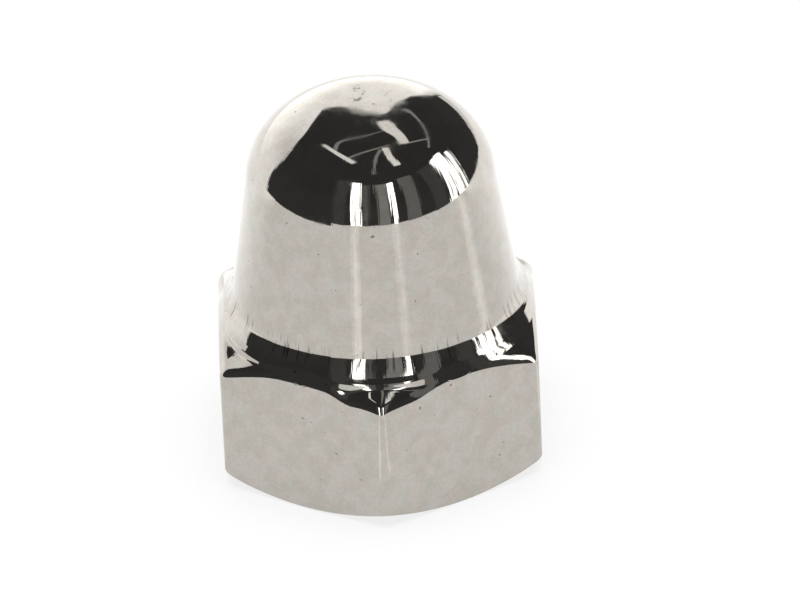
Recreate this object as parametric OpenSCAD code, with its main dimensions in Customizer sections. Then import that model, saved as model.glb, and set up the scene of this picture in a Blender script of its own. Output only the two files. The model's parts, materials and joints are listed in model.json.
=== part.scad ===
// Cap nut, size M6: a hexagon with a closed, tapered dome over a blind threaded hole.
// One solid piece. Millimetres, +Z up, origin in the middle of the face that bears on the work.
// One corner of the hexagon points along -Y.

/* [Hexagon] */
// Width across flats, which is the spanner size
across_flats = 10; // [8:0.1:14]
// Height of each flat, up to the foot of the collar
flat_h = 4.57; // [3:0.01:6]
// Radius of the six upright edges
edge_radius = 0.2; // [0.05:0.05:0.5]
// Slope of the upper chamfer on the six corners, measured from level
upper_chamfer_angle = 20; // [10:1:40]
// Slope of the lower chamfer on the six corners, measured from level
lower_chamfer_angle = 31; // [15:1:45]
// How far the round bearing face stands inside the flats
bearing_inset = 0.05; // [0.02:0.01:0.6]

/* [Collar] */
// Height of the low round collar above the flats
collar_h = 0.36; // [0.2:0.02:0.8]
// How far the top of the collar stands inside the flats
collar_inset = 0.12; // [0.06:0.01:0.3]
// How far the foot of the collar stands inside the flats
collar_foot_inset = 0.02; // [0.01:0.01:0.05]
// Hollow radius between the collar and the upper chamfer
hollow_radius = 0.5; // [0.1:0.05:0.8]

/* [Dome] */
// Overall height of the nut
overall_h = 12; // [10:0.1:16]
// How far the foot of the dome flares out to the edge of the collar
flare_w = 0.3; // [0.15:0.01:0.6]
// Hollow radius of the flare between the dome and the collar
flare_radius = 1.33; // [0.8:0.01:2]
// Taper of the dome's side, measured from upright
dome_taper = 7.8; // [2:0.1:12]
// Radius of the shoulder between the dome's side and its crown
shoulder_radius = 2.7; // [1.5:0.1:3.3]
// Radius of the blunt crown
crown_radius = 27; // [12:1:60]

/* [Thread] */
// Nominal diameter of the thread
thread_d = 6; // [5:0.1:7.2]
// Pitch of the thread
thread_pitch = 1; // [0.5:0.05:1.25]
// Widest diameter of the lead-in at the mouth, beyond the nominal diameter
lead_in_extra = 0.5; // [0.1:0.1:1]
// Full angle of the lead-in at the mouth
lead_in_angle = 90; // [60:5:120]
// Full angle of the drilled point at the blind end
point_angle = 118; // [90:1:140]
// Thickness of metal left between the drilled point and the crown
crown_wall = 1.2; // [0.8:0.1:3]

/* [Hidden] */
$fn = 120;

// Overlap that keeps one cut from ending on the face of another
over = 1;
// Hair by which a curve bites into the side that it runs smoothly into, so that they meet cleanly
bite = 0.0002;
// Depth of a 60 degree thread on one side, as a share of its pitch
thread_depth_share = 5 * sqrt(3) / 16;

// Hexagon
corner_azimuths = [for (i = [0:5]) 60 * i - 90];
flat_r = across_flats / 2;
edge_r = (flat_r - edge_radius) / cos(30);
rim_r = edge_r + edge_radius + over;
bearing_r = flat_r - bearing_inset;
lower_rim_z = (rim_r - bearing_r) * tan(lower_chamfer_angle);

// Collar, whose drafted wall runs into the hollow just inside the flats
collar_edge = [flat_r - collar_inset, flat_h + collar_h];
collar_foot = [flat_r - collar_foot_inset, flat_h];
collar_draft = atan2(collar_inset - collar_foot_inset, collar_h);
hollow_centre = collar_foot + hollow_radius * [cos(collar_draft), sin(collar_draft)];
hollow_foot = hollow_centre - hollow_radius * [sin(upper_chamfer_angle), cos(upper_chamfer_angle)];
upper_rim_z = hollow_foot.y - (rim_r - hollow_foot.x) * tan(upper_chamfer_angle);

// Flare, which leaves the dome's side smoothly and ends on the edge of the collar
side_in = [cos(dome_taper), sin(dome_taper)];
side_up = [-sin(dome_taper), cos(dome_taper)];
dome_foot = collar_edge - [flare_w, 0];
flare_depth = flare_w * side_in.x;
flare_rise = sqrt(2 * flare_radius * flare_depth - pow(flare_depth, 2)) - flare_w * side_in.y;
flare_top = dome_foot + flare_rise * side_up;
flare_centre = flare_top + flare_radius * side_in;

// Shoulder and crown
crown_centre = [0, overall_h - crown_radius];
shoulder_centre = centre_of_shoulder();
shoulder_foot = shoulder_centre + shoulder_radius * side_in;
crown_edge = crown_centre + crown_radius * unit(shoulder_centre - crown_centre);

// Thread
bore_r = thread_d / 2 - thread_depth_share * thread_pitch;
lead_in_r = (thread_d + lead_in_extra) / 2;
lead_in_h = (lead_in_r - bore_r) / tan(lead_in_angle / 2);
point_h = bore_r / tan(point_angle / 2);
bore_h = overall_h - crown_wall - point_h;

function unit(v) = v / norm(v);

// Direction at an azimuth in the plan
function towards(azimuth) = [cos(azimuth), sin(azimuth)];

// Centre of the shoulder: one radius inside the dome's side, and inside the crown by as much
function centre_of_shoulder() =
    let (start = dome_foot - shoulder_radius * side_in - crown_centre)
    let (reach = crown_radius - shoulder_radius, along = start * side_up)
    crown_centre + start + (sqrt(pow(along, 2) - start * start + pow(reach, 2)) - along) * side_up;

// Plan of the hexagon with its six rounded edges
module rounded_hexagon() {
    polygon([for (azimuth = corner_azimuths, side = [-30, 30])
        edge_r * towards(azimuth) + edge_radius * towards(azimuth + side)]);
    for (azimuth = corner_azimuths)
        translate(edge_r * towards(azimuth))
            circle(r = edge_radius + bite);
}

// Half section of the hexagon's two chamfers, with its rim outside the corners, up to the flare
module foot_section() {
    difference() {
        polygon([
            [0, 0],
            [bearing_r, 0],
            [rim_r, lower_rim_z],
            [rim_r, upper_rim_z],
            hollow_foot,
            hollow_centre,
            collar_foot,
            collar_edge,
            flare_centre,
            flare_top,
            [0, flare_top.y]
        ]);
        translate(hollow_centre)
            circle(r = hollow_radius + bite);
        translate(flare_centre)
            circle(r = flare_radius + bite);
    }
}

// Half section of the tapered side, the rounded shoulder and the blunt crown
module dome_section() {
    polygon([
        [0, dome_foot.y],
        dome_foot,
        shoulder_foot,
        shoulder_centre,
        [0, shoulder_centre.y]
    ]);
    intersection() {
        translate(shoulder_centre)
            circle(r = shoulder_radius + bite);
        translate([0, shoulder_centre.y - over])
            square([shoulder_centre.x + shoulder_radius + over, shoulder_radius + 2 * over]);
    }
    intersection() {
        translate(crown_centre)
            circle(r = crown_radius);
        translate([0, shoulder_centre.y])
            square([crown_edge.x, overall_h]);
    }
}

// Half section of the drilled and tapped hole, with its lead-in and its point
module bore_section() {
    polygon([
        [0, -over],
        [lead_in_r + over * tan(lead_in_angle / 2), -over],
        [bore_r, lead_in_h],
        [bore_r, bore_h],
        [0, bore_h + point_h]
    ]);
}

module cap_nut() {
    color("silver")
        difference() {
            intersection() {
                linear_extrude(overall_h)
                    rounded_hexagon();
                rotate_extrude() {
                    foot_section();
                    dome_section();
                }
            }
            rotate_extrude()
                bore_section();
        }
}

cap_nut();
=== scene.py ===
# %% [markdown]
# A cap nut
#
# A cap nut closes the end of a screw: a hexagon for the spanner below, a hollow dome above, and
# a threaded hole that does not come out at the top. Everything you see is one piece of metal.
# Its main sizes come from the construction model, which is loaded here as a fixed frame. The nut
# is worked out in millimetres and degrees, and turned into metres where its points are made. The
# room round it is in metres from the start.

# %% Load the frame and measure it
import json
import math

import bmesh
import bpy
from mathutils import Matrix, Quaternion, Vector

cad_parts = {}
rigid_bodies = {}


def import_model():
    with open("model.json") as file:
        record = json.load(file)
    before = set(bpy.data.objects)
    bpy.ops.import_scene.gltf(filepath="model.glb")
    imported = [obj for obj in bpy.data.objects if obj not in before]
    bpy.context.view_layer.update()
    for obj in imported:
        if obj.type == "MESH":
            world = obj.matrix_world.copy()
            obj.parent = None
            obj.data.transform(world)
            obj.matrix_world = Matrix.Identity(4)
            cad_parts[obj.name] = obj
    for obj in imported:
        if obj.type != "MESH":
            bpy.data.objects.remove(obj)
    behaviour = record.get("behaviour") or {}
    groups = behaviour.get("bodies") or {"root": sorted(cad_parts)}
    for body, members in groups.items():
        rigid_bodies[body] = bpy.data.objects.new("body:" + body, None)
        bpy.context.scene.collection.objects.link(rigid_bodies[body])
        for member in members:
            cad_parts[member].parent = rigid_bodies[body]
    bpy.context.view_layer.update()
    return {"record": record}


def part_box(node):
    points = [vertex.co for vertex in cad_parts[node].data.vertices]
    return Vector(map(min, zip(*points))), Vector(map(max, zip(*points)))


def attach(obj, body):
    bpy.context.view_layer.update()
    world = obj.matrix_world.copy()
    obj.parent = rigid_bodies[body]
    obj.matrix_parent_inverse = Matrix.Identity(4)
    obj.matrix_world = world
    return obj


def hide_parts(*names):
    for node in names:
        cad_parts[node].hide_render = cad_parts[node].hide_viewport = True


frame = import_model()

MM = 0.001
nut_low, nut_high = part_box("cap_nut")
across_flats = round((nut_high.x - nut_low.x) / MM, 2)
overall_h = round((nut_high.z - nut_low.z) / MM, 2)
mounts = {mount["name"]: mount for mount in frame["record"]["mounts"]}
bore_r = mounts["thread"]["dims"]["r_mm"]
print(f"across flats {across_flats} mm, height {overall_h} mm, bore radius {bore_r} mm")

# %% [markdown]
# How the shape is described
#
# Such a nut is turned or pressed round, so nearly all of its shape is one half section spun about
# the axis. You could draw that section and use a Screw modifier. Here the hexagon cuts into the
# spun shape at a different place in each direction, and a polished nut has no sharp edge where it
# does. So the section is a list of [radius, height] points that is worked out anew for each
# direction, and the mesh is built from these columns. Angles in a section are tilts: a surface of
# tilt 0 faces outwards and a surface of tilt 90 faces up.

# %% Directions and steps
def facing(tilt):
    """Direction, as radius and height, in which a surface of that tilt faces."""
    return Vector((math.cos(math.radians(tilt)), math.sin(math.radians(tilt))))


def along(tilt):
    """Direction in which a surface of that tilt climbs."""
    return Vector((-math.sin(math.radians(tilt)), math.cos(math.radians(tilt))))


def steps(start, end, count):
    """count + 1 evenly spaced values from start to end."""
    return [start + (end - start) * i / count for i in range(count + 1)]


print(f"a surface of tilt 30 faces {facing(30).x:.2f} outwards and {facing(30).y:.2f} upwards")

# %% [markdown]
# Lines and arcs of the section
#
# Three kinds of stretch are enough for a turned part: a straight line, an arc that bulges out and
# an arc that is hollow. Each one leaves out its last point, because the next stretch starts
# there. That way they can be added up like words in a sentence, with no point said twice.

# %% Stretches of the section
def line(start, end, count):
    """Points along a straight line, without its last point."""
    return [start.lerp(end, t) for t in steps(0, 1, count)[:-1]]


def bulge(centre, radius, tilt_from, tilt_to, count):
    """Points along an arc that bulges outwards, without its last point."""
    return [centre + radius * facing(t) for t in steps(tilt_from, tilt_to, count)[:-1]]


def hollow(centre, radius, tilt_from, tilt_to, count):
    """Points along an arc that is hollow as seen from outside, without its last point."""
    return [centre - radius * facing(t) for t in steps(tilt_from, tilt_to, count)[:-1]]


quarter_round = bulge(Vector((0, 0)), 1, 0, 90, 6)
print(f"a quarter round in 6 steps has {len(quarter_round)} points without its last one")

# %% [markdown]
# The dome
#
# The dome stands on the hexagon as a slightly tapered round wall that turns over a generous
# shoulder into a blunt crown. At its foot it flares out in a hollow curve. Each curve starts
# where the last one ends with the same tilt, so the centres are worked out from the radii, and
# no corner can creep in between them.

# %% Foot and flare of the dome
flat_r = across_flats / 2
flat_h = 4.57
collar_h = 0.36
collar_inset = 0.12
flare_w = 0.3
flare_radius = 1.33
dome_taper = 7.8

dome_foot = Vector((flat_r - collar_inset - flare_w, flat_h + collar_h))
flare_depth = flare_w * facing(dome_taper).x
flare_rise = math.sqrt(2 * flare_radius * flare_depth - flare_depth ** 2)
flare_rise -= flare_w * facing(dome_taper).y
flare_top = dome_foot + flare_rise * along(dome_taper)
flare_centre = flare_top + flare_radius * facing(dome_taper)
print(f"the flare ends {flare_top.y:.2f} mm up, where the dome is {flare_top.x:.2f} mm in radius")

# %% Shoulder and crown of the dome
shoulder_radius = 2.7
crown_radius = 27

crown_centre = Vector((0, overall_h - crown_radius))
shoulder_start = dome_foot - shoulder_radius * facing(dome_taper) - crown_centre
reach = crown_radius - shoulder_radius
climb = shoulder_start.dot(along(dome_taper))
climb = math.sqrt(climb ** 2 - shoulder_start.length_squared + reach ** 2) - climb
shoulder_centre = crown_centre + shoulder_start + climb * along(dome_taper)
crown_out = shoulder_centre - crown_centre
crown_tilt = math.degrees(math.atan2(crown_out.y, crown_out.x))
print(f"the shoulder turns into the crown at tilt {crown_tilt:.1f} degrees")

# %% Points of the dome
DOME_SIDE_STEPS = 18
SHOULDER_STEPS = 36
CROWN_STEPS = 10


def dome_points():
    """Points from the top of the flare up to the middle of the crown."""
    shoulder_foot = shoulder_centre + shoulder_radius * facing(dome_taper)
    points = line(flare_top, shoulder_foot, DOME_SIDE_STEPS)
    points += bulge(shoulder_centre, shoulder_radius, dome_taper, crown_tilt, SHOULDER_STEPS)
    points += bulge(crown_centre, crown_radius, crown_tilt, 90, CROWN_STEPS)
    points.append(Vector((0, overall_h)))
    return points


dome = dome_points()
print(f"{len(dome)} points on the dome")

# %% [markdown]
# The hexagon
#
# Seen from above the hexagon has six corners with slightly rounded upright edges. You could start
# from a six-sided cylinder and bevel it, but then its columns would not match those of the dome.
# In each direction, from the axis outwards, it ends at one distance: on a flat that is half the
# width across flats divided by a cosine, and on a rounded edge it follows a circle. The
# directions are crowded together at the corners, where the shape changes quickly, and spread out
# over the flats.

# %% Outline of the hexagon
EDGE_RADIUS = 0.35
HALF_SIDE = 30


def outline_radius(off_corner):
    """Distance from the axis to the outline, at an angle in degrees away from a corner."""
    off = math.radians(abs(off_corner))
    half_side = math.radians(HALF_SIDE)
    to_edge = (flat_r - EDGE_RADIUS) / math.cos(half_side)
    touch_out = to_edge + EDGE_RADIUS * math.cos(half_side)
    touch_across = EDGE_RADIUS * math.sin(half_side)
    if off < math.atan2(touch_across, touch_out):
        return to_edge * math.cos(off) + math.sqrt(EDGE_RADIUS ** 2 - (to_edge * math.sin(off)) ** 2)
    return flat_r / math.cos(half_side - off)


print(f"{outline_radius(0) * 2:.2f} mm across the corners")

# %% Directions of the columns
FIRST_CORNER = -90
COLUMNS_PER_HALF_SIDE = 20
CROWDING = 1.8


def directions():
    """Pairs of azimuth and angle away from the nearest corner, once round and back to the start."""
    half = [HALF_SIDE * t ** CROWDING for t in steps(0, 1, COLUMNS_PER_HALF_SIDE)]
    side = [-angle for angle in reversed(half[1:])] + half[:-1]
    corners = [FIRST_CORNER + 2 * HALF_SIDE * i for i in range(6)]
    pairs = [(corner + off, off) for corner in corners for off in side]
    return pairs + [(pairs[0][0] + 360, pairs[0][1])]


columns = directions()
print(f"{len(columns) - 1} columns")

# %% [markdown]
# Bumps round the axis
#
# Hand polishing takes more off in one place than in another. To say so in a section, you need a
# smooth bump: 1 in the middle of a place, fading to nothing on both sides. A place is a pair of
# its azimuth and its spread in degrees, and a size is then mixed from what it is outside the
# place and what it is inside.

# %% Bumps and mixtures
def bell(x, spread):
    """A smooth bump: 1 at zero, fading to nothing on both sides."""
    return math.exp(-(x / spread) ** 2)


def in_places(azimuth, places):
    """Sum of smooth bumps round the axis, each a pair of azimuth and spread, up to 1."""
    total = 0
    for middle, spread in places:
        total += bell((azimuth - middle + 180) % 360 - 180, spread)
    return min(1, total)


def mixed(first, last, share):
    """The value that lies that share of the way from first to last."""
    return first + (last - first) * share


print(f"a bump of spread 10 still has {bell(5, 10):.2f} of its height 5 degrees away")

# %% [markdown]
# The collar
#
# Between the flare and the hexagon runs a low collar. Buffing wheels reach it from above, so no
# two places of it are alike. Near a corner it still has a rim with a low upright wall under it,
# and in a few places that wall is taller. Over the flats the wall has become one smooth slope,
# and round one corner the collar has been rubbed away and runs out onto the chamfer. Modelling
# one neat ring would look machined. So the rim and the foot of the collar are moved a little in
# each direction: with the distance from the corner, and with a few places round the axis.

# %% Where the collar is crisp, tall or worn
CORNER_SPREAD = 22
TALL_WALLS = ((-151, 7), (-102, 5), (-75, 8), (28, 12), (165, 9))
WORN_SIDES = ((-20, 24),)
LOOKED_AT = (("front corner", -90, 0), ("middle of a flat", -60, 30), ("worn corner", -30, 0))


def collar_state(azimuth, off_corner):
    """Two shares from 0 to 1: how crisp the collar is, and how far it has been rubbed away."""
    worn = in_places(azimuth, WORN_SIDES)
    return math.exp(-(off_corner / CORNER_SPREAD) ** 4) * (1 - worn), worn


for name, azimuth, off in LOOKED_AT:
    crisp, worn = collar_state(azimuth, off)
    print(f"{name}: crisp {crisp:.2f}, worn {worn:.2f}")

# %% The collar in one direction
WORN_RIM_TILT = 41
CRISP_RIM_TILT = 52
WORN_SOFTNESS = 0.25
CRISP_SOFTNESS = 0.1
WALL_LEAN = 0.027
WALL_H = 0.075
TALLER_BY = 0.105
SLOPE_FOOT_INSET = 0.04
SLOPE_FOOT_LIFT = 0.01
WORN_FOOT_LIFT = 0.13
RUN_OUT = 0.1
RUN_OUT_SPREAD = 15
SWELL = 0.16


def collar(azimuth, off_corner, crisp, worn):
    """Rim and foot of the collar, tilt at the end of the flare, and softness of the rim."""
    tilt = mixed(WORN_RIM_TILT, CRISP_RIM_TILT, crisp)
    rim = flare_centre - flare_radius * facing(tilt)
    wall_h = WALL_H + TALLER_BY * in_places(azimuth, TALL_WALLS)
    slope_foot_r = flat_r - SLOPE_FOOT_INSET + RUN_OUT * worn * bell(off_corner, RUN_OUT_SPREAD)
    slope_foot_z = flat_h + SLOPE_FOOT_LIFT + WORN_FOOT_LIFT * worn
    foot = Vector((slope_foot_r, slope_foot_z)).lerp(rim + Vector((WALL_LEAN, -wall_h)), crisp)
    foot.x += SWELL * crisp * (1 - crisp)
    return rim, foot, tilt, mixed(WORN_SOFTNESS, CRISP_SOFTNESS, crisp)


def wall_tilt(rim, foot):
    """Tilt of the straight stretch between the rim and the foot of the collar."""
    return math.degrees(math.atan2(foot.x - rim.x, rim.y - foot.y))


for name, azimuth, off in LOOKED_AT:
    rim, foot, tilt, softness = collar(azimuth, off, *collar_state(azimuth, off))
    print(f"{name}: rim at {rim.x:.2f}, {rim.y:.2f} mm, wall at tilt {wall_tilt(rim, foot):.0f}")

# %% [markdown]
# Rounded edges
#
# The upper and the lower chamfer are spun cones, so each cuts a curved edge into every flat. The
# upper one is high in the middle of a flat and low at the corners, and the lower one the other
# way round. A Bevel modifier would round these edges, but it can't melt the upper edge into the
# hollow next to it, which is what polishing did here. So each column gets its own arcs: the edge
# is a bulging arc that touches the hollow under the collar or, near a corner, the flat cone of
# the chamfer. Where there is no room for a hollow, it rolls straight into the collar's wall.

# %% The lower edge
LOWER_CHAMFER_ANGLE = 31
BEARING_INSET = 0.05
LOWER_EDGE_RADIUS = 0.07
LOWER_TIP_RADIUS = 0.3
LOWER_TIP_SPREAD = 5
LOWER_EDGE_STEPS = 7
bearing_r = flat_r - BEARING_INSET


def lower_edge(reach_out, off_corner):
    """Points from the lower chamfer round to the upright side."""
    radius = mixed(LOWER_EDGE_RADIUS, LOWER_TIP_RADIUS, bell(off_corner, LOWER_TIP_SPREAD))
    down = facing(LOWER_CHAMFER_ANGLE - 90)
    centre_r = reach_out - radius
    edge_z = (centre_r + radius * down.x - bearing_r) * math.tan(math.radians(LOWER_CHAMFER_ANGLE))
    centre = Vector((centre_r, edge_z - radius * down.y))
    edge = bulge(centre, radius, LOWER_CHAMFER_ANGLE - 90, 0, LOWER_EDGE_STEPS)
    return edge + [centre + radius * facing(0)]


print(f"the side starts {lower_edge(outline_radius(0), 0)[-1].y:.2f} mm up at a corner")


# %% Points evenly spaced along a path
def resampled(points, count):
    """count points evenly spaced along a path, without its last point."""
    lengths = [0]
    for a, b in zip(points, points[1:]):
        lengths.append(lengths[-1] + (b - a).length)
    spaced = []
    k = 0
    for want in steps(0, lengths[-1], count)[:-1]:
        while lengths[k + 1] < want:
            k += 1
        share = (want - lengths[k]) / (lengths[k + 1] - lengths[k])
        spaced.append(points[k].lerp(points[k + 1], share))
    return spaced


print(f"{len(resampled([Vector((0, 0)), Vector((1, 0)), Vector((1, 3))], 8))} points along an L")

# %% The upper edge, the chamfer and the hollow
ROLL_RADIUS = 0.6
TIP_ROLL_RADIUS = 0.5
HOLLOW_RADIUS = 0.3
CORNER_HOLLOW_RADIUS = 0.16
UPPER_CHAMFER_ANGLE = 30
TIP_CHAMFER_ANGLE = 27
WORN_STEEPER_BY = 14
TIP_SPREAD = 4
CORNER_HOLLOW_SPREAD = 13
EDGE_STEPS = 12
HOLLOW_STEPS = 24
CHAMFER_STEPS = 20


def upper_edge(reach_out, off_corner, rim, foot, worn):
    """Points from the upright side over the edge, the chamfer and the hollow to the collar."""
    tip = bell(off_corner, TIP_SPREAD)
    roll = mixed(ROLL_RADIUS, TIP_ROLL_RADIUS, tip)
    dip = mixed(HOLLOW_RADIUS, CORNER_HOLLOW_RADIUS, bell(off_corner, CORNER_HOLLOW_SPREAD))
    chamfer = mixed(UPPER_CHAMFER_ANGLE, TIP_CHAMFER_ANGLE, tip) + WORN_STEEPER_BY * worn
    draft = wall_tilt(rim, foot)
    one_roll = (reach_out - foot.x) / (1 - facing(draft).x)
    if one_roll <= roll:
        roll_centre = foot - one_roll * facing(draft)
        return bulge(roll_centre, one_roll, 0, draft, EDGE_STEPS + CHAMFER_STEPS)
    centre = foot + dip * facing(draft)
    roll_r = reach_out - roll
    tilt = math.degrees(math.acos((centre.x - roll_r) / (dip + roll)))
    roll_z = centre.y - (dip + roll) * facing(tilt).y
    if tilt > 90 - chamfer:
        tilt = 90 - chamfer
        inner = centre - dip * facing(tilt)
        fall = (roll_r + roll * facing(tilt).x - inner.x) * math.tan(math.radians(chamfer))
        roll_z = inner.y - fall - roll * facing(tilt).y
    roll_centre = Vector((roll_r, roll_z))
    edge = bulge(roll_centre, roll, 0, tilt, EDGE_STEPS)
    path = [roll_centre + roll * facing(tilt)]
    path += hollow(centre, dip, tilt, draft, HOLLOW_STEPS)[1:] + [foot]
    return edge + resampled(path, CHAMFER_STEPS)


for name, azimuth, off in LOOKED_AT:
    crisp, worn = collar_state(azimuth, off)
    rim, foot, tilt, softness = collar(azimuth, off, crisp, worn)
    edge = upper_edge(outline_radius(off), off, rim, foot, worn)
    print(f"{name}: the side ends {edge[0].y:.2f} mm up")

# %% [markdown]
# One column of the outside
#
# Now the stretches are strung together from the mouth of the hole, across the bearing face, up
# the side and over the dome. Two corners are left in that chain, at the rim of the bearing face
# and at the rim of the collar, and each gets a small round of its own. Where a flat face meets a
# round, an extra point close by holds the shading flat.

# %% A small round in place of a corner
def softened_corner(before, corner, after, radius, count):
    """Points of a small round in place of a corner between two straight stretches."""
    into = (before - corner).normalized()
    out = (after - corner).normalized()
    half_angle = into.angle(out) / 2
    back = radius / math.tan(half_angle)
    centre = corner + (into + out).normalized() * radius / math.sin(half_angle)
    first = corner + into * back - centre
    last = corner + out * back - centre
    turn = first.angle_signed(last)
    points = []
    for spin in steps(0, -turn, count):
        points.append(centre + Vector((
            first.x * math.cos(spin) - first.y * math.sin(spin),
            first.x * math.sin(spin) + first.y * math.cos(spin))))
    return points


rounded = softened_corner(Vector((0, 0)), Vector((1, 0)), Vector((1, 1)), 0.1, 3)
print(f"a rounded corner starts {1 - rounded[0].x:.2f} mm before the sharp one")

# %% String the stretches together
LEAD_IN_R = 3.25
BEARING_EDGE_SOFTNESS = 0.03
CLOSE = 0.012
BEARING_FACE_STEPS = 3
BEARING_EDGE_STEPS = 3
LOWER_CHAMFER_STEPS = 5
SIDE_STEPS = 6
WALL_STEPS = 5
RIM_STEPS = 7
FLARE_STEPS = 22
UNDER_RIM = 4


def outer_column(azimuth, off_corner):
    """Points from the mouth of the hole, round the outside, to the middle of the crown."""
    reach_out = outline_radius(off_corner)
    low = lower_edge(reach_out, off_corner)
    mouth = Vector((LEAD_IN_R, 0))
    bearing_rim = Vector((bearing_r, 0))
    bearing_edge = softened_corner(mouth, bearing_rim, low[0], BEARING_EDGE_SOFTNESS, BEARING_EDGE_STEPS)
    before_edge = bearing_edge[0] - Vector((CLOSE, 0))
    points = line(mouth, before_edge, BEARING_FACE_STEPS) + [before_edge] + bearing_edge
    points += line(bearing_edge[-1], low[0], LOWER_CHAMFER_STEPS)[1:] + low

    crisp, worn = collar_state(azimuth, off_corner)
    rim, foot, rim_tilt, softness = collar(azimuth, off_corner, crisp, worn)
    high = upper_edge(reach_out, off_corner, rim, foot, worn)
    side_foot = low[-1] + Vector((0, CLOSE))
    side_top = high[0] - Vector((0, CLOSE))
    points += line(side_foot, side_top, SIDE_STEPS) + [side_top] + high

    flare = hollow(flare_centre, flare_radius, rim_tilt, dome_taper, FLARE_STEPS)
    collar_edge = softened_corner(foot, rim, flare[UNDER_RIM - 1], softness, RIM_STEPS)
    points += line(foot, collar_edge[0], WALL_STEPS) + collar_edge
    return points + flare[UNDER_RIM:] + dome


outside = [outer_column(azimuth, off) for azimuth, off in columns]
print(f"{len(outside[0])} rows outside")

# %% [markdown]
# The thread
#
# The hole is drilled, given a lead-in cone, and tapped with a right-hand metric thread: 60 degree
# flanks with a flat at the crest and at the root. A plain wall with a striped bump would look
# right only from far away, so the thread is real geometry. Its rows follow the helix. They climb
# by one pitch in each turn, so that the crests stay crisp, and the rows that would leave the
# thread at either end are held at the end and later merged. The last turns fade out, because a
# tap is tapered and stops short of the drilled point.

# %% Sizes of the thread
PITCH = 1.0
MAJOR_R = 3.0
ROOT_FLAT = 1 / 8
CREST_FLAT = 1 / 4
POINT_TILT = 59
CROWN_WALL = 1.2
FADE_TURNS = 2.0
PLAIN_END = 0.4
point_h = bore_r / math.tan(math.radians(POINT_TILT))
bore_top = overall_h - CROWN_WALL - point_h
print(f"thread {2 * MAJOR_R:.0f} x {PITCH:.0f} mm")
print(f"hole {bore_top:.1f} mm deep, with a point of {point_h:.1f} mm")


# %% The wall of the hole
def thread_share(phase):
    """How deep the thread is at a phase from 0 to 1: 0 on the crest, 1 at the root."""
    from_root = abs(phase - 0.5)
    flank = (1 - ROOT_FLAT - CREST_FLAT) / 2
    return min(1, max(0, (0.5 - CREST_FLAT / 2 - from_root) / flank))


def wall_radius(height, phase):
    """Distance from the axis to the wall of the hole, whose lead-in is a 90 degree cone."""
    fade = min(1, max(0, (bore_top - PLAIN_END - height) / (FADE_TURNS * PITCH)))
    threaded = bore_r + (MAJOR_R - bore_r) * thread_share(phase) * fade
    return max(threaded, LEAD_IN_R - height)


print(f"wall at {wall_radius(4, 0):.2f} mm on a crest and {wall_radius(4, 0.5):.2f} mm at a root")

# %% One column of the inside
ROWS_PER_PITCH = 16
POINT_STEPS = 6


def inner_column(azimuth):
    """Points from the tip of the drilled point down to the mouth of the hole."""
    turn = (azimuth - columns[0][0]) / 360
    count = ROWS_PER_PITCH * math.ceil(bore_top / PITCH + 1)
    points = []
    for i in range(count + 1):
        climbed = (i / ROWS_PER_PITCH - 1 + turn) * PITCH
        height = min(bore_top, max(0, climbed))
        phase = (i / ROWS_PER_PITCH) % 1 if climbed == height else (height / PITCH - turn) % 1
        points.append(Vector((wall_radius(height, phase), height)))
    tip = Vector((0, bore_top + point_h))
    points += line(points[-1], tip, POINT_STEPS)[1:] + [tip]
    return list(reversed(points))


inside = [inner_column(azimuth) for azimuth, off in columns]
print(f"{len(inside[0])} rows inside")

# %% [markdown]
# One closed mesh
#
# The inside and the outside share the mouth of the hole, so one grid of rows and columns wraps
# the whole nut, from the tip of the drilled point to the middle of the crown. Points that fall
# together, at the two poles, at the seam and at the ends of the thread, are merged, which leaves
# a watertight surface.

# %% Build the nut
MERGE_WITHIN = 0.0002


def build_nut():
    """The nut as one mesh object, in metres."""
    shape = bmesh.new()
    grid = []
    for (azimuth, off), inner, outer in zip(columns, inside, outside):
        across = facing(azimuth)
        grid.append([
            shape.verts.new((across.x * p.x * MM, across.y * p.x * MM, p.y * MM))
            for p in inner[:-1] + outer])
    for left, right in zip(grid, grid[1:]):
        for row in range(len(left) - 1):
            shape.faces.new((left[row], right[row], right[row + 1], left[row + 1]))
    bmesh.ops.remove_doubles(shape, verts=shape.verts, dist=MERGE_WITHIN * MM)
    bmesh.ops.recalc_face_normals(shape, faces=shape.faces)
    for face in shape.faces:
        face.smooth = True
    mesh = bpy.data.meshes.new("nut")
    shape.to_mesh(mesh)
    open_edges = sum(not edge.is_manifold for edge in shape.edges)
    shape.free()
    nut = bpy.data.objects.new("nut", mesh)
    bpy.context.scene.collection.objects.link(nut)
    print(f"nut: {len(mesh.polygons)} faces, {open_edges} open edges")
    return nut


nut = build_nut()
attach(nut, "root")
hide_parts("cap_nut")

# %% [markdown]
# Polished metal
#
# Polished steel has almost no colour of its own: what you see is the room. So the base is a
# slightly warm grey with full metallic and a low roughness, and the interest comes from what is
# not perfect: patches where the polish is duller, faint warm blotches, hairlines left by the
# wheel where the dome flares out, small pits, and a surface that waves a little. You could paint
# a texture for that. Here it all comes from noise in the nut's own coordinates, so it needs no
# image, and it stays where it is when you walk round the nut.

# %% A short way to add nodes
def add_node(tree, kind, inputs=(), **settings):
    """Add a node, set its properties, and fill its inputs with values or with other sockets."""
    made = tree.nodes.new(kind)
    for name, value in settings.items():
        setattr(made, name, value)
    for name, value in dict(inputs).items():
        if isinstance(value, bpy.types.NodeSocket):
            tree.links.new(value, made.inputs[name])
        else:
            made.inputs[name].default_value = value
    return made


def value_math(tree, operation, *values):
    """The outcome of a Math node for values or sockets."""
    return add_node(tree, "ShaderNodeMath", dict(enumerate(values)), operation=operation).outputs[0]


def vector_math(tree, operation, *values, **named):
    """A Vector Math node for vectors or sockets."""
    inputs = dict(enumerate(values)) | named
    return add_node(tree, "ShaderNodeVectorMath", inputs, operation=operation)


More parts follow.
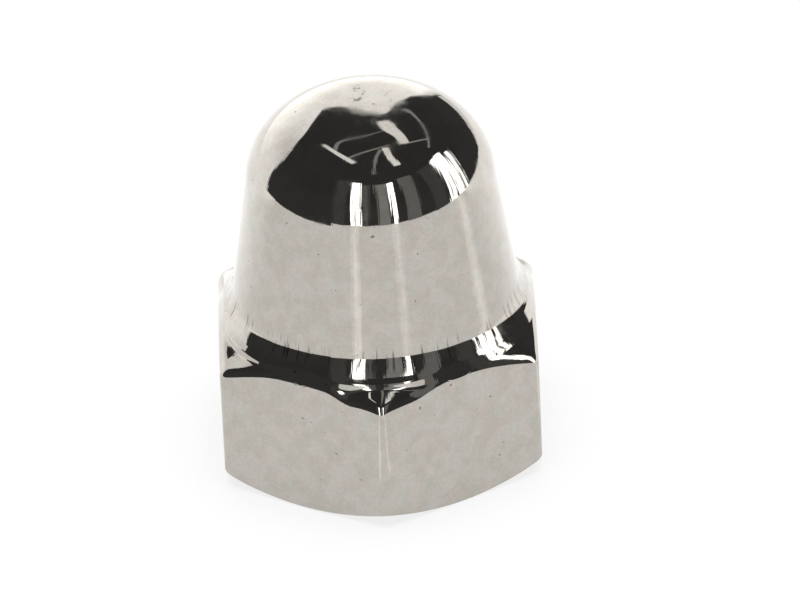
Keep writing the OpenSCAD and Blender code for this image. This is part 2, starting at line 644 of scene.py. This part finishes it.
# %% [markdown]
# Turning noise into marks
#
# Nearly every mark below is made in the same way: take a value, such as a noise, a height or a
# distance, and let another value change smoothly while the first one goes from a start to an end.
# A narrow range makes a crisp mark, and a wide one makes a cloud. That is one Map Range node with
# smooth steps, so it gets a short name.

# %% Ranges, mixtures and noise
def blend_range(tree, value, start, end, first, last):
    """A value that goes smoothly from first to last while the given one goes from start to end."""
    inputs = {"Value": value, "From Min": start, "From Max": end, "To Min": first, "To Max": last}
    return add_node(tree, "ShaderNodeMapRange", inputs, interpolation_type="SMOOTHSTEP").outputs[0]


def mixed_colour(tree, share, first, last):
    """The colour that lies that share of the way from first to last."""
    inputs = {"Factor": share, "A": first, "B": last}
    return add_node(tree, "ShaderNodeMix", inputs, data_type="RGBA").outputs["Result"]


def noise(tree, place, scale, detail):
    """A noise value that is mostly between 0.3 and 0.7: a larger scale gives smaller clouds."""
    inputs = {"Vector": place, "Scale": scale, "Detail": detail}
    return add_node(tree, "ShaderNodeTexNoise", inputs).outputs[0]


# %% [markdown]
# Places on the nut
#
# The marks need to know where they are. Object coordinates give that, here in millimetres, and
# from them come the distance from the axis and the height. The last place squeezes the height
# almost to nothing and keeps only the direction from the axis, so a noise laid on it is drawn
# out into upright streaks.

# %% Places on the nut, in millimetres
STREAK_SQUEEZE = 0.012


def places_on_nut(tree):
    """Sockets with the place, the distance from the axis, the height, and a place made of streaks."""
    object_place = add_node(tree, "ShaderNodeTexCoord").outputs["Object"]
    place = vector_math(tree, "SCALE", object_place, Scale=1 / MM).outputs[0]
    flat = vector_math(tree, "MULTIPLY", place, (1, 1, 0)).outputs[0]
    radius = vector_math(tree, "LENGTH", flat).outputs["Value"]
    height = add_node(tree, "ShaderNodeSeparateXYZ", {0: place}).outputs["Z"]
    around = vector_math(tree, "NORMALIZE", flat).outputs[0]
    squeezed = value_math(tree, "MULTIPLY", height, STREAK_SQUEEZE)
    upright = add_node(tree, "ShaderNodeCombineXYZ", {"Z": squeezed}).outputs[0]
    streaks = vector_math(tree, "ADD", around, upright).outputs[0]
    return place, radius, height, streaks


# %% Start the metal
metal = bpy.data.materials.new("polished_metal")
metal.use_nodes = True
metal_tree = metal.node_tree
metal_shader = metal_tree.nodes["Principled BSDF"]
metal_shader.inputs["Metallic"].default_value = 1
place, radius, height, streaks = places_on_nut(metal_tree)
nut.data.materials.append(metal)
print(f"{len(metal_tree.nodes)} nodes say where a mark is")

# %% [markdown]
# Clean and dull metal
#
# The wheel leaves wide patches that are cleaner or duller, and handling leaves faint warm and
# cool blotches on top. Both are soft clouds of noise, one over the other at different sizes, and
# both stay within about a tenth: a stronger pattern would look like camouflage.

# %% Colour of the metal
CLEAN_METAL = (0.515, 0.492, 0.457, 1)
DULL_METAL = (0.480, 0.453, 0.410, 1)
WARM_TINT = (1.017, 0.992, 0.984, 1)
COOL_TINT = (0.986, 1.006, 0.998, 1)
CLOUD_NOISE = (1.9, 5)
CLOUD_RANGE = (0.36, 0.64)
BLOTCH_NOISE = (2.6, 4)
BLOTCH_RANGE = (0.38, 0.62)


def cloudy_colour(tree, place):
    """Clean and dull patches, with warm and cool blotches over them."""
    clouds = blend_range(tree, noise(tree, place, *CLOUD_NOISE), *CLOUD_RANGE, 0, 1)
    blotches = blend_range(tree, noise(tree, place, *BLOTCH_NOISE), *BLOTCH_RANGE, 0, 1)
    patches = mixed_colour(tree, clouds, CLEAN_METAL, DULL_METAL)
    tint = mixed_colour(tree, blotches, WARM_TINT, COOL_TINT)
    return vector_math(tree, "MULTIPLY", patches, tint).outputs[0]


clouded = cloudy_colour(metal_tree, place)
print(f"{len(metal_tree.nodes)} nodes with the clouds")

# %% [markdown]
# Marks in the metal
#
# Three kinds of dark mark sit in the polish. Hairlines run up and down where the dome flares
# out, because the wheel could not follow the hollow. Pits are scattered everywhere, few and
# small. And one patch on the crown is speckled, where the last polish stopped short. The largest
# of the three wins, and fine scuffs go over everything.

# %% Hairlines, pits, specks and scuffs
HAIRLINES_FROM = (5.0, 5.3)
HAIRLINES_TO = (5.5, 6.0)
HAIR_NOISE = (55, 3)
HAIR_RANGE = (0.56, 0.68)
PIT_NOISE = (7, 0)
PIT_RANGE = (0.82, 0.9)
SPECKLED_PLACE = (0.1, 0.7, 12)
SPECKLED_REACH = (0.4, 1.0)
SPECK_NOISE = (3.8, 2)
SPECK_RANGE = (0.54, 0.68)
SCUFF_NOISE = (9, 3)
SCUFF_RANGE = (0.35, 0.65)
BETWEEN_SCUFFS = 1.02
IN_SCUFFS = 0.965
MARKED_DOWN_TO = 0.4


def marks_and_scuffs(tree, place, height, streaks):
    """How bright the metal is: 1 where it is clean, and less in a mark."""
    above = blend_range(tree, height, *HAIRLINES_FROM, 0, 1)
    below = blend_range(tree, height, *HAIRLINES_TO, 1, 0)
    near_flare = value_math(tree, "MULTIPLY", above, below)
    hairs = blend_range(tree, noise(tree, streaks, *HAIR_NOISE), *HAIR_RANGE, 0, 1)
    hairs = value_math(tree, "MULTIPLY", hairs, near_flare)
    pits = blend_range(tree, noise(tree, place, *PIT_NOISE), *PIT_RANGE, 0, 1)
    away = vector_math(tree, "DISTANCE", place, SPECKLED_PLACE).outputs["Value"]
    speckled = blend_range(tree, away, *SPECKLED_REACH, 1, 0)
    specks = blend_range(tree, noise(tree, place, *SPECK_NOISE), *SPECK_RANGE, 0, 1)
    specks = value_math(tree, "MULTIPLY", specks, speckled)
    marks = value_math(tree, "MAXIMUM", value_math(tree, "MAXIMUM", hairs, pits), specks)
    marked = blend_range(tree, marks, 0, 1, 1, MARKED_DOWN_TO)
    rubbed = noise(tree, place, *SCUFF_NOISE)
    scuffs = blend_range(tree, rubbed, *SCUFF_RANGE, BETWEEN_SCUFFS, IN_SCUFFS)
    return value_math(tree, "MULTIPLY", marked, scuffs)


brightness = marks_and_scuffs(metal_tree, place, height, streaks)
colour = vector_math(metal_tree, "SCALE", clouded, Scale=brightness).outputs[0]
metal_tree.links.new(colour, metal_shader.inputs["Base Color"])
print(f"{len(metal_tree.nodes)} nodes with the marks")

# %% [markdown]
# Where the metal is rougher
#
# Inside the hole the tap has torn the metal a little, so it is far rougher there than outside,
# and outside the polish comes and goes in soft patches. The hole is found by its distance from
# the axis and its height. Without the height, the crown above the hole would go rough too.

# %% Roughness
POLISHED = 0.035
SCUFFED = 0.11
CUT_ROUGHER_BY = 0.22
POLISH_NOISE = (1.3, 4)
POLISH_RANGE = (0.45, 0.75)
HOLE_SIDE = (LEAD_IN_R - 0.01, LEAD_IN_R + 0.05)
HOLE_TOP = (10.9, 11)


def roughness(tree, place, radius, height):
    """Roughness: polished and scuffed patches outside, and a rougher hole."""
    polish = blend_range(tree, noise(tree, place, *POLISH_NOISE), *POLISH_RANGE, POLISHED, SCUFFED)
    in_hole = blend_range(tree, radius, *HOLE_SIDE, 1, 0)
    in_hole = value_math(tree, "MULTIPLY", in_hole, blend_range(tree, height, *HOLE_TOP, 1, 0))
    rougher = value_math(tree, "MULTIPLY", in_hole, CUT_ROUGHER_BY)
    return value_math(tree, "ADD", rougher, polish)


rough = roughness(metal_tree, place, radius, height)
metal_tree.links.new(rough, metal_shader.inputs["Roughness"])
print(f"roughness {POLISHED} to {SCUFFED}, and {CUT_ROUGHER_BY} more in the hole")

# %% [markdown]
# A surface that is not quite true
#
# Mirror-like metal gives away every wave. Three bumps are laid over each other: slow waves from
# the polishing, a fine grain, and upright streaks from the wheel. The highest is about a
# hundredth of a millimetre, and all three fade out on the crown, where a wave would tear the
# picture of the room to pieces. The face that bears on the work keeps fine rings from the lathe.

# %% Waves, grain, streaks and turned rings
WAVE_H = 0.012 * MM
WAVE_NOISE = (0.7, 1)
GRAIN_H = 0.0006 * MM
GRAIN_NOISE = (6, 3)
STREAK_H = 0.002 * MM
STREAK_NOISE = (40, 2)
CROWN_FROM = (11.2, 11.8)
LEFT_ON_CROWN = 0.05
RING_H = 0.0012 * MM
RING_PITCH = 0.1496
FACE_SIDE = (bearing_r - 0.03, bearing_r + 0.01)
FACE_TOP = (0.01, 0.02)


def bump(tree, strength, distance, shape, below=None):
    """A bump of that shape, on top of the one below it."""
    inputs = {"Strength": strength, "Distance": distance, "Height": shape}
    if below is not None:
        inputs["Normal"] = below
    return add_node(tree, "ShaderNodeBump", inputs).outputs[0]


def surface(tree, place, radius, height, streaks):
    """The normal with its waves, grain and streaks, and with rings on the bearing face."""
    below_crown = blend_range(tree, height, *CROWN_FROM, 1, LEFT_ON_CROWN)
    normal = bump(tree, below_crown, WAVE_H, noise(tree, place, *WAVE_NOISE))
    normal = bump(tree, below_crown, GRAIN_H, noise(tree, place, *GRAIN_NOISE), normal)
    normal = bump(tree, below_crown, STREAK_H, noise(tree, streaks, *STREAK_NOISE), normal)
    on_face = blend_range(tree, radius, *FACE_SIDE, 1, 0)
    on_face = value_math(tree, "MULTIPLY", on_face, blend_range(tree, height, *FACE_TOP, 1, 0))
    turns = value_math(tree, "MULTIPLY", radius, 2 * math.pi / RING_PITCH)
    return bump(tree, on_face, RING_H, value_math(tree, "SINE", turns), normal)


normal = surface(metal_tree, place, radius, height, streaks)
metal_tree.links.new(normal, metal_shader.inputs["Normal"])
print(f"{len(metal_tree.nodes)} nodes in the whole metal")

# %% [markdown]
# The floor
#
# The nut stands on a wide sheet of white paper. The sheet lies a hair under the nut, so that the
# two faces do not fight for the same place. It has a hole that is smaller than the face the nut
# stands on, so that the nut can also be looked at from below.

# %% Sheet of paper
FLOOR_DROP = 0.00001
FLOOR_RINGS = (0.0046, 0.02, 0.1, 1.5)
FLOOR_SIDES = 64


def add_stage(name, shape):
    """Turn a shape into a mesh object of its own, linked to the scene apart from the nut."""
    mesh = bpy.data.meshes.new(name)
    shape.to_mesh(mesh)
    shape.free()
    thing = bpy.data.objects.new(name, mesh)
    bpy.context.scene.collection.objects.link(thing)
    return thing


def make_floor():
    """A flat ring of paper with a small hole in the middle."""
    shape = bmesh.new()
    rings = []
    for radius in FLOOR_RINGS:
        rings.append([
            shape.verts.new((radius * math.cos(a), radius * math.sin(a), -FLOOR_DROP))
            for a in steps(0, 2 * math.pi, FLOOR_SIDES)[:-1]])
    for inner, outer in zip(rings, rings[1:]):
        for i in range(FLOOR_SIDES):
            after = (i + 1) % FLOOR_SIDES
            shape.faces.new((inner[i], outer[i], outer[after], inner[after]))
    return add_stage("floor", shape)


floor = make_floor()
print(f"paper {2 * FLOOR_RINGS[-1]:.0f} m across, with a hole of {2 * FLOOR_RINGS[0] / MM:.1f} mm")

# %% [markdown]
# White paper
#
# Paper that is only lit goes grey at the edges of the picture. So to the lens and to the metal it
# glows: 1 is white. The rest of its look is plain diffuse paper, which takes the shadow of the
# nut. Behind the nut a pool of light is painted into its glow, so in the metal it gets brighter
# towards the back. From below it is clear.

# %% A value that changes across the scene
def fading(tree, axis, start, end, first, last):
    """A socket whose value changes smoothly from first to last between two places on an axis."""
    position = add_node(tree, "ShaderNodeNewGeometry").outputs["Position"]
    apart = add_node(tree, "ShaderNodeSeparateXYZ", {0: position})
    return blend_range(tree, apart.outputs[axis], start, end, first, last)


# %% Material of the paper
FLOOR_GLOW = 0.8
PAPER = (0.9, 0.9, 0.9, 1)
PAPER_IN_METAL = 0.97
# Painted light: behind the nut the paper glows up to this in the metal, a painted pool of light.
PAPER_BEHIND_IN_METAL = 1.42
BRIGHTEST_FROM = 0.018


def make_floor_material():
    """White paper that glows to the lens and to the metal, takes shadow, and is clear from below."""
    pale = bpy.data.materials.new("pale_floor")
    pale.use_nodes = True
    tree = pale.node_tree
    tree.nodes.clear()
    seen = add_node(tree, "ShaderNodeLightPath").outputs
    # The glow that the metal sees, with a painted pool of light behind the nut.
    in_metal = fading(tree, "Y", 0, BRIGHTEST_FROM, PAPER_IN_METAL, PAPER_BEHIND_IN_METAL)
    metal_or_lens = {"Value": seen["Is Camera Ray"], "To Min": in_metal, "To Max": 1}
    strength = add_node(tree, "ShaderNodeMapRange", metal_or_lens).outputs[0]
    glow = add_node(tree, "ShaderNodeEmission", {"Strength": strength}).outputs[0]
    paper = add_node(tree, "ShaderNodeBsdfDiffuse", {"Color": PAPER}).outputs[0]
    either = value_math(tree, "MAXIMUM", seen["Is Camera Ray"], seen["Is Glossy Ray"])
    share = value_math(tree, "MULTIPLY", either, FLOOR_GLOW)
    top = add_node(tree, "ShaderNodeMixShader", {"Fac": share, 1: paper, 2: glow}).outputs[0]
    underneath = add_node(tree, "ShaderNodeNewGeometry").outputs["Backfacing"]
    clear = add_node(tree, "ShaderNodeBsdfTransparent").outputs[0]
    sheet = add_node(tree, "ShaderNodeMixShader", {"Fac": underneath, 1: top, 2: clear}).outputs[0]
    add_node(tree, "ShaderNodeOutputMaterial", {"Surface": sheet})
    return pale


floor.data.materials.append(make_floor_material())
print(f"the paper glows {PAPER_IN_METAL} in the metal, and {PAPER_BEHIND_IN_METAL} behind the nut")

# %% [markdown]
# Light for the floor
#
# One wide, soft lamp hangs high over the nut. Its job is the shadow: a faint grey on the paper
# close round the foot, as under an overcast sky. The metal doesn't show the lamp itself, because
# the things it does show are built below, one by one.

# %% Overhead lamp
LAMP_SIZE = 0.8
LAMP_POWER = 6.0
LAMP_HEIGHT = 0.6
overhead = bpy.data.objects.new("overhead", bpy.data.lights.new("overhead", "AREA"))
overhead.data.shape = "DISK"
overhead.data.size = LAMP_SIZE
overhead.data.energy = LAMP_POWER
overhead.location = (0, 0, LAMP_HEIGHT)
overhead.visible_glossy = False
overhead.visible_camera = False
bpy.context.scene.collection.objects.link(overhead)
print(f"a lamp of {LAMP_POWER:.0f} W, {LAMP_SIZE} m wide, {LAMP_HEIGHT} m over the nut")

# %% [markdown]
# The room
#
# A mirror shows its room, so the room has to be built for it, just as a photographer sets up
# cards and lamps for a shiny thing. It is dark above the paper, with a pale backdrop on one side,
# bright window strips around the front, and a lamp stand overhead. Nearly everything in it is a
# glowing shape far away from the nut, placed by two angles: the azimuth, which is 0 towards the
# lens and grows to the right, and the elevation above the floor.

# %% Directions in the room
ROOM_RADIUS = 0.6


def towards(azimuth, elevation):
    """Direction from the nut: azimuth 0 is towards the lens and grows to the right."""
    a, e = math.radians(azimuth), math.radians(elevation)
    return Vector((math.sin(a) * math.cos(e), -math.cos(a) * math.cos(e), math.sin(e)))


print("straight up is", [round(part, 3) for part in towards(0, 90)])

# %% [markdown]
# Glowing shapes
#
# Area lamps would do for cards, but they are flat rectangles, and the edge of a backdrop or the
# bend of a lamp stand has a shape. So each one is a small mesh with an Emission material. It
# shows only in the metal: the lens, the paper and the shadows don't know of it.

# %% A glowing surface
def add_glow(name, rows, brightness, fades=()):
    """A glowing surface through rows of points, seen only in reflections."""
    shape = bmesh.new()
    grid = [[shape.verts.new(point) for point in row] for row in rows]
    for under, above in zip(grid, grid[1:]):
        for i in range(len(under) - 1):
            shape.faces.new((under[i], under[i + 1], above[i + 1], above[i]))
    glowing = add_stage(name, shape)
    glow = bpy.data.materials.new(name)
    glow.use_nodes = True
    tree = glow.node_tree
    tree.nodes.clear()
    for fade in fades:
        brightness = value_math(tree, "MULTIPLY", brightness, fading(tree, *fade))
    emission = add_node(tree, "ShaderNodeEmission", {"Strength": brightness}).outputs[0]
    add_node(tree, "ShaderNodeOutputMaterial", {"Surface": emission})
    glowing.data.materials.append(glow)
    glowing.visible_camera = False
    glowing.visible_diffuse = False
    glowing.visible_shadow = False
    return glowing


# %% A smooth path
def smooth_path(points, pieces):
    """Points on a smooth curve through the given vectors."""
    ends = [points[0]] + list(points) + [points[-1]]
    path = []
    for a, b, c, d in zip(ends, ends[1:], ends[2:], ends[3:]):
        for t in steps(0, 1, pieces)[:-1]:
            curve = (c - a) * t + (2 * a - 5 * b + 4 * c - d) * t ** 2
            curve += (3 * b - a - 3 * c + d) * t ** 3
            path.append(b + curve / 2)
    return path + [points[-1]]


corner_path = smooth_path([Vector((0, 0)), Vector((1, 0)), Vector((1, 1))], 4)
print(f"a smooth path through 3 points has {len(corner_path)} points")


# %% Panels between two edges
PIECES_PER_POINT = 6
PANEL_ROWS = 8


def panel(name, low, high, brightness, fades=()):
    """A panel between a low and a high edge, each a list of (azimuth, elevation) pairs."""
    low_edge = smooth_path([Vector(pair) for pair in low], PIECES_PER_POINT)
    high_edge = smooth_path([Vector(pair) for pair in high], PIECES_PER_POINT)
    rows = []
    for t in steps(0, 1, PANEL_ROWS):
        rows.append([ROOM_RADIUS * towards(*a.lerp(b, t)) for a, b in zip(low_edge, high_edge)])
    return add_glow(name, rows, brightness, fades)


print(f"a panel has {PANEL_ROWS + 1} rows of points")

# %% Bars along a path
PIECES_PER_BEND = 8


def bar(name, points, first_width, last_width, brightness):
    """A bar along a curve of (azimuth, elevation) pairs, with its two widths in degrees."""
    path = smooth_path([towards(*pair) for pair in points], PIECES_PER_BEND)
    middle = [point.normalized() for point in path]
    widths = steps(first_width, last_width, len(middle) - 1)
    sides = ([], [])
    for i, here in enumerate(middle):
        half = math.radians(widths[i] / 2)
        ahead = middle[min(i + 1, len(middle) - 1)] - middle[max(i - 1, 0)]
        across = here.cross(ahead).normalized() * half
        sides[0].append(ROOM_RADIUS * (here - across).normalized())
        sides[1].append(ROOM_RADIUS * (here + across).normalized())
    return add_glow(name, sides, brightness)


print(f"a bar has {PIECES_PER_BEND} pieces between two of its points")

# %% [markdown]
# The backdrop
#
# Behind the nut and to its left stands a bright backdrop. Its top edge is what gives the dark
# patch on the shoulder its outline: it falls off to the left, and near the middle it has a small
# peak, where the dark patch is notched. It is brightest in the middle and gets dimmer to both
# sides and towards the top. On the right it fades into the paper, which curls up a little.

# %% Backdrop and curled paper
BACKDROP_LEFT = [(-112, 29), (-120.5, 37), (-136, 42), (-149, 42), (-161, 38.5), (-172, 33.5)]
BACKDROP_PEAK = [(-177, 31.6), (-179, 33.2), (-181.5, 34.2), (-183.2, 30.3), (-190, 23), (-195, 13)]
BELOW_PAPER = -2
BACKDROP = 2
CURLED_PAPER = 1.0
dimmer_left = ("X", -0.54, -0.15, 0.65, 1)
dimmer_right = ("X", 0.1, 0.155, 1, 0.5)
dimmer_up = ("Z", 0.1, 0.36, 1, 0.66)
backdrop_top = BACKDROP_LEFT + BACKDROP_PEAK
backdrop_foot = [(azimuth, BELOW_PAPER) for azimuth, elevation in backdrop_top]
backdrop_foot[0] = (-107, BELOW_PAPER)
panel("backdrop", backdrop_foot, backdrop_top, BACKDROP, (dimmer_left, dimmer_right, dimmer_up))

curl_top = [(-196, 8), (-215, 5), (-228, 0)]
curl_foot = [(-195, BELOW_PAPER), (-215, BELOW_PAPER), (-232, BELOW_PAPER)]
panel("paper_edge", curl_foot, curl_top, CURLED_PAPER)
print(f"the backdrop is up to {max(elevation for azimuth, elevation in backdrop_top)} degrees high")

# %% [markdown]
# The end of the paper
#
# To the left of the nut the paper ends against something dark. In the metal that is the dark end
# of the band round the dome's foot. It is a low dark curtain that stands on the paper.

# %% Dark curtain on the left
CURTAIN_REACH = 0.13
CURTAIN_HEIGHT = 0.018
CURTAIN_AZIMUTHS = steps(-35, -106, 12)
CURTAIN = 0.05


def curtain(name, azimuths, reach, height, brightness):
    """A low curtain on the floor, round the nut at one distance."""
    rows = []
    for z in (0, height):
        rows.append([reach * towards(azimuth, 0) + Vector((0, 0, z)) for azimuth in azimuths])
    return add_glow(name, rows, brightness)


curtain("paper_end", CURTAIN_AZIMUTHS, CURTAIN_REACH, CURTAIN_HEIGHT, CURTAIN)
print(f"the curtain is {math.degrees(math.atan2(CURTAIN_HEIGHT, CURTAIN_REACH)):.0f} degrees high")

# %% [markdown]
# The window strips
#
# The bright stripes on the shoulder and on the flare are windows. Each is a bar that climbs from
# the floor to above eye level and leans away from the middle, so that the stripes fan out on the
# shoulder. One flat card with stripes on it would be simpler, but its stripes would stay parallel.
# Two stand to the left of the lens, one to its right, and a group of four far to the right.
# Between and beside them the wall is a little lighter than the rest of the room.

# %% Bright and dim strips
WINDOW = 4
DIMMER_WINDOW = 3
bar("strip_a", [(-15.9, -1), (-17.7, 20), (-22.2, 56)], 3, 3.4, WINDOW)
bar("strip_b", [(-11.3, -1), (-12.8, 20), (-17.5, 56)], 3.6, 3.6, WINDOW)
bar("strip_c", [(20.6, -1), (21.5, 20), (25.5, 53)], 3.6, 4.4, WINDOW)
bar("strip_d", [(75, -1), (79, 20), (90, 47)], 2.6, 2.6, DIMMER_WINDOW)
bar("strip_e", [(80.5, -1), (84, 20), (95, 47)], 4.4, 4.8, WINDOW)
bar("strip_f", [(88.5, -1), (91, 20), (102, 46)], 5, 6.2, WINDOW)
bar("strip_g", [(95.5, -1), (98, 20), (109, 38)], 3, 4.2, DIMMER_WINDOW)
bar("dim_left", [(-5.5, -1), (-6, 20), (-8, 54)], 5, 5, 0.15)
bar("dim_middle", [(10.5, -1), (11, 20), (13, 54)], 10, 10, 0.32)
bar("dim_right", [(38, -1), (40, 20), (46, 54)], 12, 12, 0.2)
bar("dim_far_left", [(-29, -1), (-31, 20), (-37, 56)], 10, 10, 0.08)
bar("dim_far_right", [(64, -1), (67, 20), (76, 50)], 13, 13, 0.08)

# %% [markdown]
# The lamp stand overhead
#
# The thin light shapes in the middle of the dark patch are a lamp stand over the table: three
# arms and a thin arc, with a few wires between them. They are short bars of different widths, and
# the arms get wider towards the lens, because that end is nearer.

# %% Arms and wires
ARM = 1.2
ARC = 0.4
WIRE = 0.35
BRIGHTER_WIRE = 0.45
bar("stand_back", [(178.7, 36), (171.7, 48), (142, 63.5)], 1, 5, ARM)
bar("stand_left", [(-139, 58), (-121, 70.5), (-66, 79)], 2.6, 4, ARM)
bar("stand_right", [(156, 72), (98, 78), (62, 69)], 3, 5.5, ARM)
bar("stand_arc", [(177, 33), (166.5, 39), (143, 48), (115, 52)], 0.5, 1.5, ARC)
bar("wire_a", [(-133, 67), (-155, 61), (-177, 52), (177, 43)], 2.5, 0.4, WIRE)
bar("wire_b", [(-102, 77), (-173, 78), (156, 68)], 1.8, 1.8, WIRE)
bar("wire_c", [(8, 68), (20, 80), (110, 86), (158, 75)], 1.6, 2, WIRE)
bar("wire_d", [(141, 64), (132, 51)], 2, 1.2, BRIGHTER_WIRE)
in_stand = [thing for thing in bpy.data.objects if thing.name.startswith(("stand", "wire"))]
print(f"{len(in_stand)} pieces in the stand")

# %% [markdown]
# Painted light streaks on the paper
#
# Soft streaks of window light are painted on the paper as glowing sheets, and the dome shows them
# as pale lines that carry on from the bright stripes. A streak with a hard edge would look like
# tape. So each one is built up from four thin sheets, each narrower and a little brighter than the
# one below it.

# %% Layered streaks
STREAK_FROM = 0.008
STREAK_TO = 0.4
STREAK_HEIGHT = 0.00002
LAYER_WIDTHS = (1.5, 1.1, 0.7, 0.35)


def floor_streak(name, azimuth, width, brightness):
    """A painted streak of light on the paper, which runs away from the nut, built up in layers."""
    for layer, share in enumerate(LAYER_WIDTHS):
        rows = []
        for side in (-0.5, 0.5):
            edge = towards(azimuth + side * width * share, 0)
            height = STREAK_HEIGHT * (layer + 1)
            rows.append([Vector((edge.x * r, edge.y * r, height)) for r in (STREAK_FROM, STREAK_TO)])
        add_glow(f"{name}_{layer}", rows, mixed(1, brightness, (layer + 1) / len(LAYER_WIDTHS)))


# Painted streaks of window light on the paper, which show only in the metal.
floor_streak("streak_left", -14.5, 5, 1.35)
floor_streak("streak_middle", 20, 5, 1.22)
floor_streak("streak_right", 83.5, 8, 1.3)
print(f"the highest sheet of a streak is {STREAK_HEIGHT * len(LAYER_WIDTHS) / MM:.2f} mm up")

# %% [markdown]
# The world
#
# To the lens the world is white, so the picture ends in white wherever the paper does. To the
# metal it is a nearly black room, which is what makes the bright shapes in it stand out, and it
# gets darker still towards the ceiling. Below the horizon it is as pale as the paper, so that the
# nut looks the same from underneath.

# %% World
DARK_ROOM = 0.05
CEILING_SHARE = 0.85
HORIZON_BETWEEN = (-0.06, -0.02)
CEILING_BETWEEN = (0.3, 0.6)
bpy.context.scene.view_settings.view_transform = "Standard"
world = bpy.data.worlds.new("room")
world.use_nodes = True
bpy.context.scene.world = world
world_tree = world.node_tree

direction = add_node(world_tree, "ShaderNodeTexCoord").outputs["Generated"]
upwards = add_node(world_tree, "ShaderNodeSeparateXYZ", {0: direction}).outputs["Z"]
horizon = blend_range(world_tree, upwards, *HORIZON_BETWEEN, PAPER_IN_METAL, DARK_ROOM)
ceiling = blend_range(world_tree, upwards, *CEILING_BETWEEN, 1, CEILING_SHARE)
room = value_math(world_tree, "MULTIPLY", horizon, ceiling)
to_lens = add_node(world_tree, "ShaderNodeLightPath").outputs["Is Camera Ray"]
seen = mixed_colour(world_tree, to_lens, room, (1, 1, 1, 1))
world_tree.links.new(seen, world_tree.nodes["Background"].inputs["Color"])
print(f"the room is {DARK_ROOM} bright, and {DARK_ROOM * CEILING_SHARE:.3f} at the ceiling")

# %% [markdown]
# The camera
#
# The lens looks down on the nut at about 32 degrees, from the side of one corner, and is tilted a
# little to the right. It stands 33 cm away with a long focal length, because a small thing is
# pictured from afar and enlarged: the upright edges then stay almost parallel.

# %% Camera
ELEVATION = 32.11
LENS_DISTANCE = 0.3333
SENSOR_WIDTH = 36
FOCAL_LENGTH = 473
ROLL = 2.66
AIM = Vector((0.000743, 0.00212, 0.00338))
camera = bpy.data.objects.new("camera", bpy.data.cameras.new("camera"))
bpy.context.scene.collection.objects.link(camera)
bpy.context.scene.camera = camera
camera.data.sensor_width = SENSOR_WIDTH
camera.data.lens = FOCAL_LENGTH
camera.data.clip_start = 0.01
camera.data.clip_end = 10
towards_lens = towards(0, ELEVATION)
camera.location = AIM + LENS_DISTANCE * towards_lens
camera.rotation_mode = "QUATERNION"
look = (-towards_lens).to_track_quat("-Z", "Y")
camera.rotation_quaternion = look @ Quaternion((0, 0, 1), math.radians(-ROLL))
print(f"lens {LENS_DISTANCE * 100:.0f} cm away, {ELEVATION} degrees up, rolled {ROLL} degrees")
